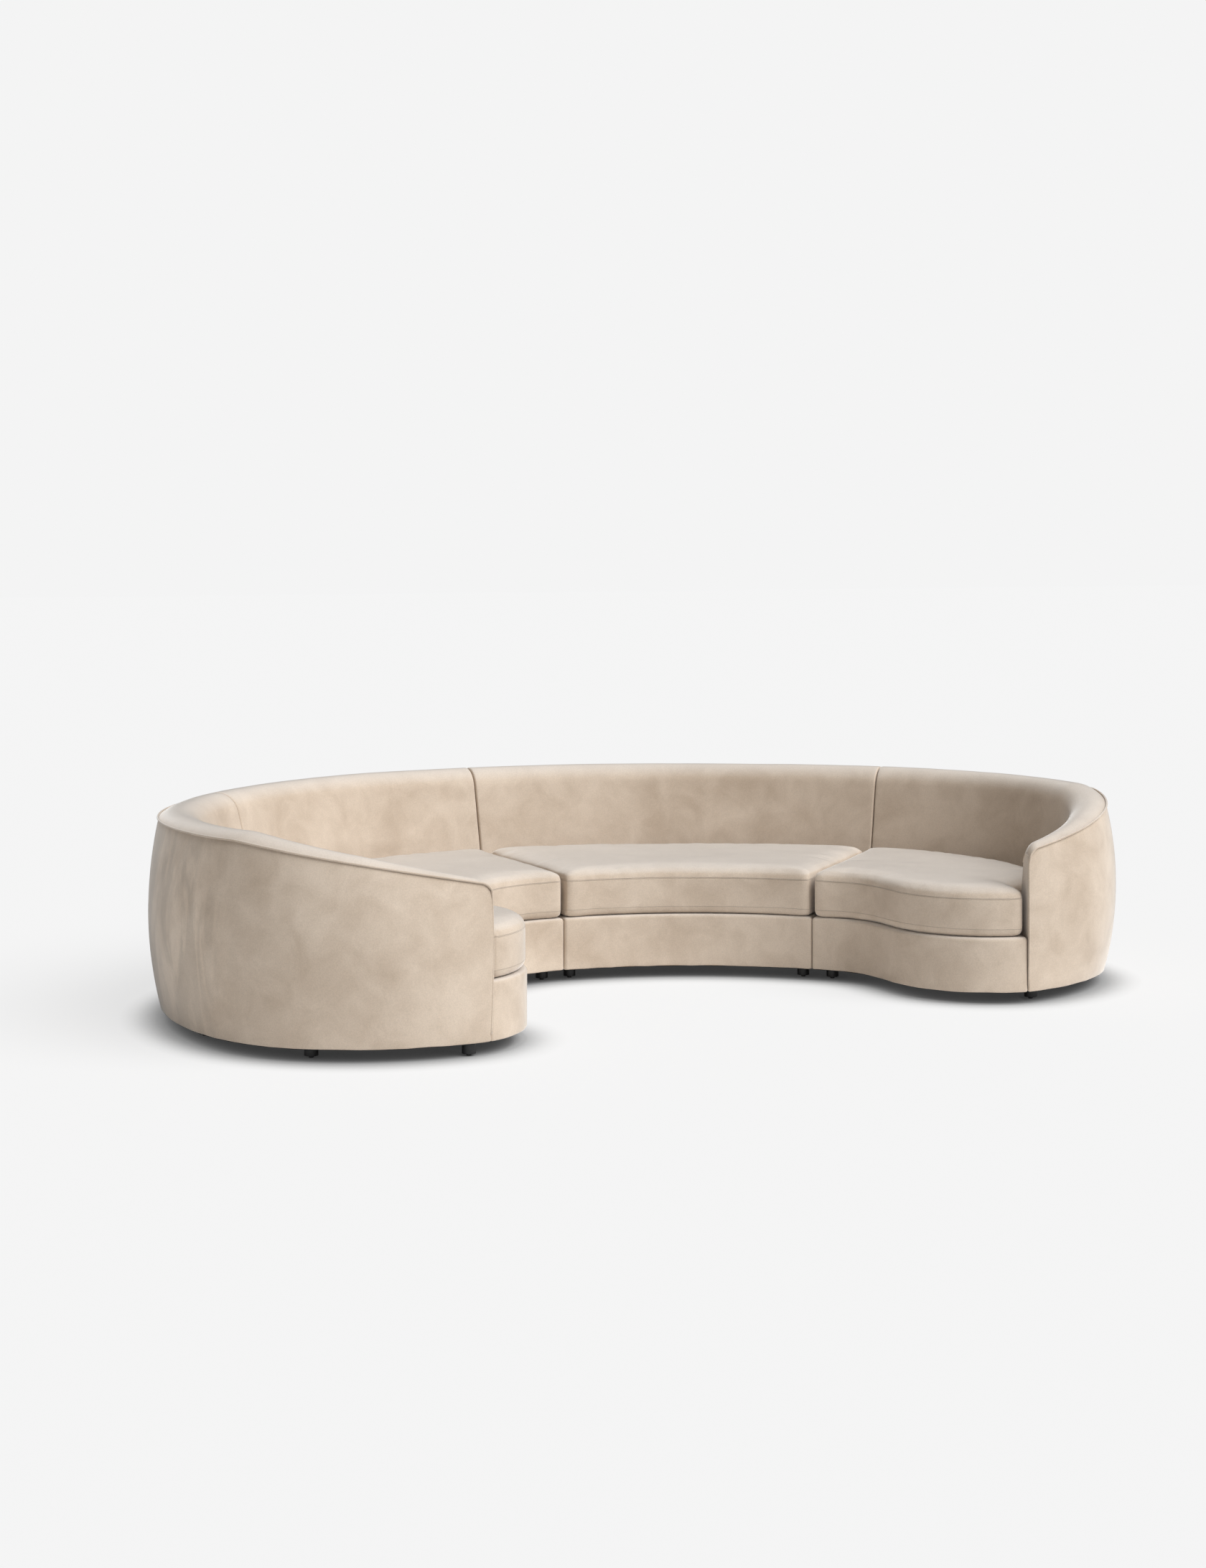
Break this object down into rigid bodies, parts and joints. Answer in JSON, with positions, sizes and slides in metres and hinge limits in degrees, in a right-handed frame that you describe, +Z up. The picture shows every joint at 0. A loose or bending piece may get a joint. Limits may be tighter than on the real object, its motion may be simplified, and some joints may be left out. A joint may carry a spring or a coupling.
{
  "type": "curved sofa",
  "caption": "C-shaped modular curved sofa: armless and arm modules with loose boxed cushions, barrel-shaped welted back and short round feet.",
  "frame": {"origin": "centre of the bounding box, on the floor under the feet", "axes": "+Z up, -Y the open front of the C, +X towards the right-hand end as the sofa is seen from the front"},
  "size_m": [3.8403, 2.4344, 0.7557],
  "materials": {
    "velvet": "short-pile velvet, beige",
    "velvet_welt": "self welt in the same velvet",
    "foam": "polyurethane foam with fibre wrap",
    "timber": "unfinished plywood and hardwood",
    "spring_steel": "oiled spring wire",
    "black_lining": "non-woven black lining",
    "black_foot": "satin black",
    "glide": "hard nylon glide",
    "connector_steel": "black zinc plate"
  },
  "bodies": {
    "middle": {"middle_back_cover": "velvet", "middle_back_foam": "foam", "middle_back_frame": "timber", "middle_base_cover": "velvet", "middle_base_frame": "timber", "middle_deck_pad": "foam", "middle_dust_cover": "black_lining", "middle_feet": "black_foot", "middle_glides": "glide", "middle_springs": "spring_steel", "middle_welt": "velvet_welt", "right_seam_tongues": "connector_steel", "middle_seam_tongues": "connector_steel"},
    "middle_cushion": {"middle_cushion_core": "foam", "middle_cushion_cover": "velvet"},
    "right_end": {"right_end_back_cover": "velvet", "right_end_back_foam": "foam", "right_end_back_frame": "timber", "right_end_base_cover": "velvet", "right_end_base_frame": "timber", "right_end_deck_pad": "foam", "right_end_dust_cover": "black_lining", "right_end_feet": "black_foot", "right_end_glides": "glide", "right_end_springs": "spring_steel", "right_end_welt": "velvet_welt", "right_seam_jaws": "connector_steel"},
    "right_end_cushion": {"right_end_cushion_core": "foam", "right_end_cushion_cover": "velvet"},
    "left_curve": {"left_curve_back_cover": "velvet", "left_curve_back_foam": "foam", "left_curve_back_frame": "timber", "left_curve_base_cover": "velvet", "left_curve_base_frame": "timber", "left_curve_deck_pad": "foam", "left_curve_dust_cover": "black_lining", "left_curve_feet": "black_foot", "left_curve_glides": "glide", "left_curve_springs": "spring_steel", "left_curve_welt": "velvet_welt", "middle_seam_jaws": "connector_steel", "left_seam_tongues": "connector_steel"},
    "left_curve_cushion": {"left_curve_cushion_core": "foam", "left_curve_cushion_cover": "velvet"},
    "left_end": {"left_end_back_cover": "velvet", "left_end_back_foam": "foam", "left_end_back_frame": "timber", "left_end_base_cover": "velvet", "left_end_base_frame": "timber", "left_end_deck_pad": "foam", "left_end_dust_cover": "black_lining", "left_end_feet": "black_foot", "left_end_glides": "glide", "left_end_springs": "spring_steel", "left_end_welt": "velvet_welt", "left_seam_jaws": "connector_steel"},
    "left_end_cushion": {"left_end_cushion_core": "foam", "left_end_cushion_cover": "velvet"}
  },
  "joints": [
    {"name": "right_end_pull_apart", "type": "slide", "parent": "middle", "child": "right_end", "axis": [0.7071, -0.7071, 0], "range_m": [0, 0.3]},
    {"name": "left_curve_pull_apart", "type": "slide", "parent": "middle", "child": "left_curve", "axis": [-1, 0, 0], "range_m": [0, 0.3]},
    {"name": "left_end_pull_apart", "type": "slide", "parent": "left_curve", "child": "left_end", "axis": [-0.6428, -0.766, 0], "range_m": [0, 0.3]},
    {"name": "middle_cushion_lift", "type": "slide", "parent": "middle", "child": "middle_cushion", "axis": [0, 0, 1], "range_m": [0, 0.3]},
    {"name": "right_end_cushion_lift", "type": "slide", "parent": "right_end", "child": "right_end_cushion", "axis": [0, 0, 1], "range_m": [0, 0.3]},
    {"name": "left_curve_cushion_lift", "type": "slide", "parent": "left_curve", "child": "left_curve_cushion", "axis": [0, 0, 1], "range_m": [0, 0.3]},
    {"name": "left_end_cushion_lift", "type": "slide", "parent": "left_end", "child": "left_end_cushion", "axis": [0, 0, 1], "range_m": [0, 0.3]}
  ]
}
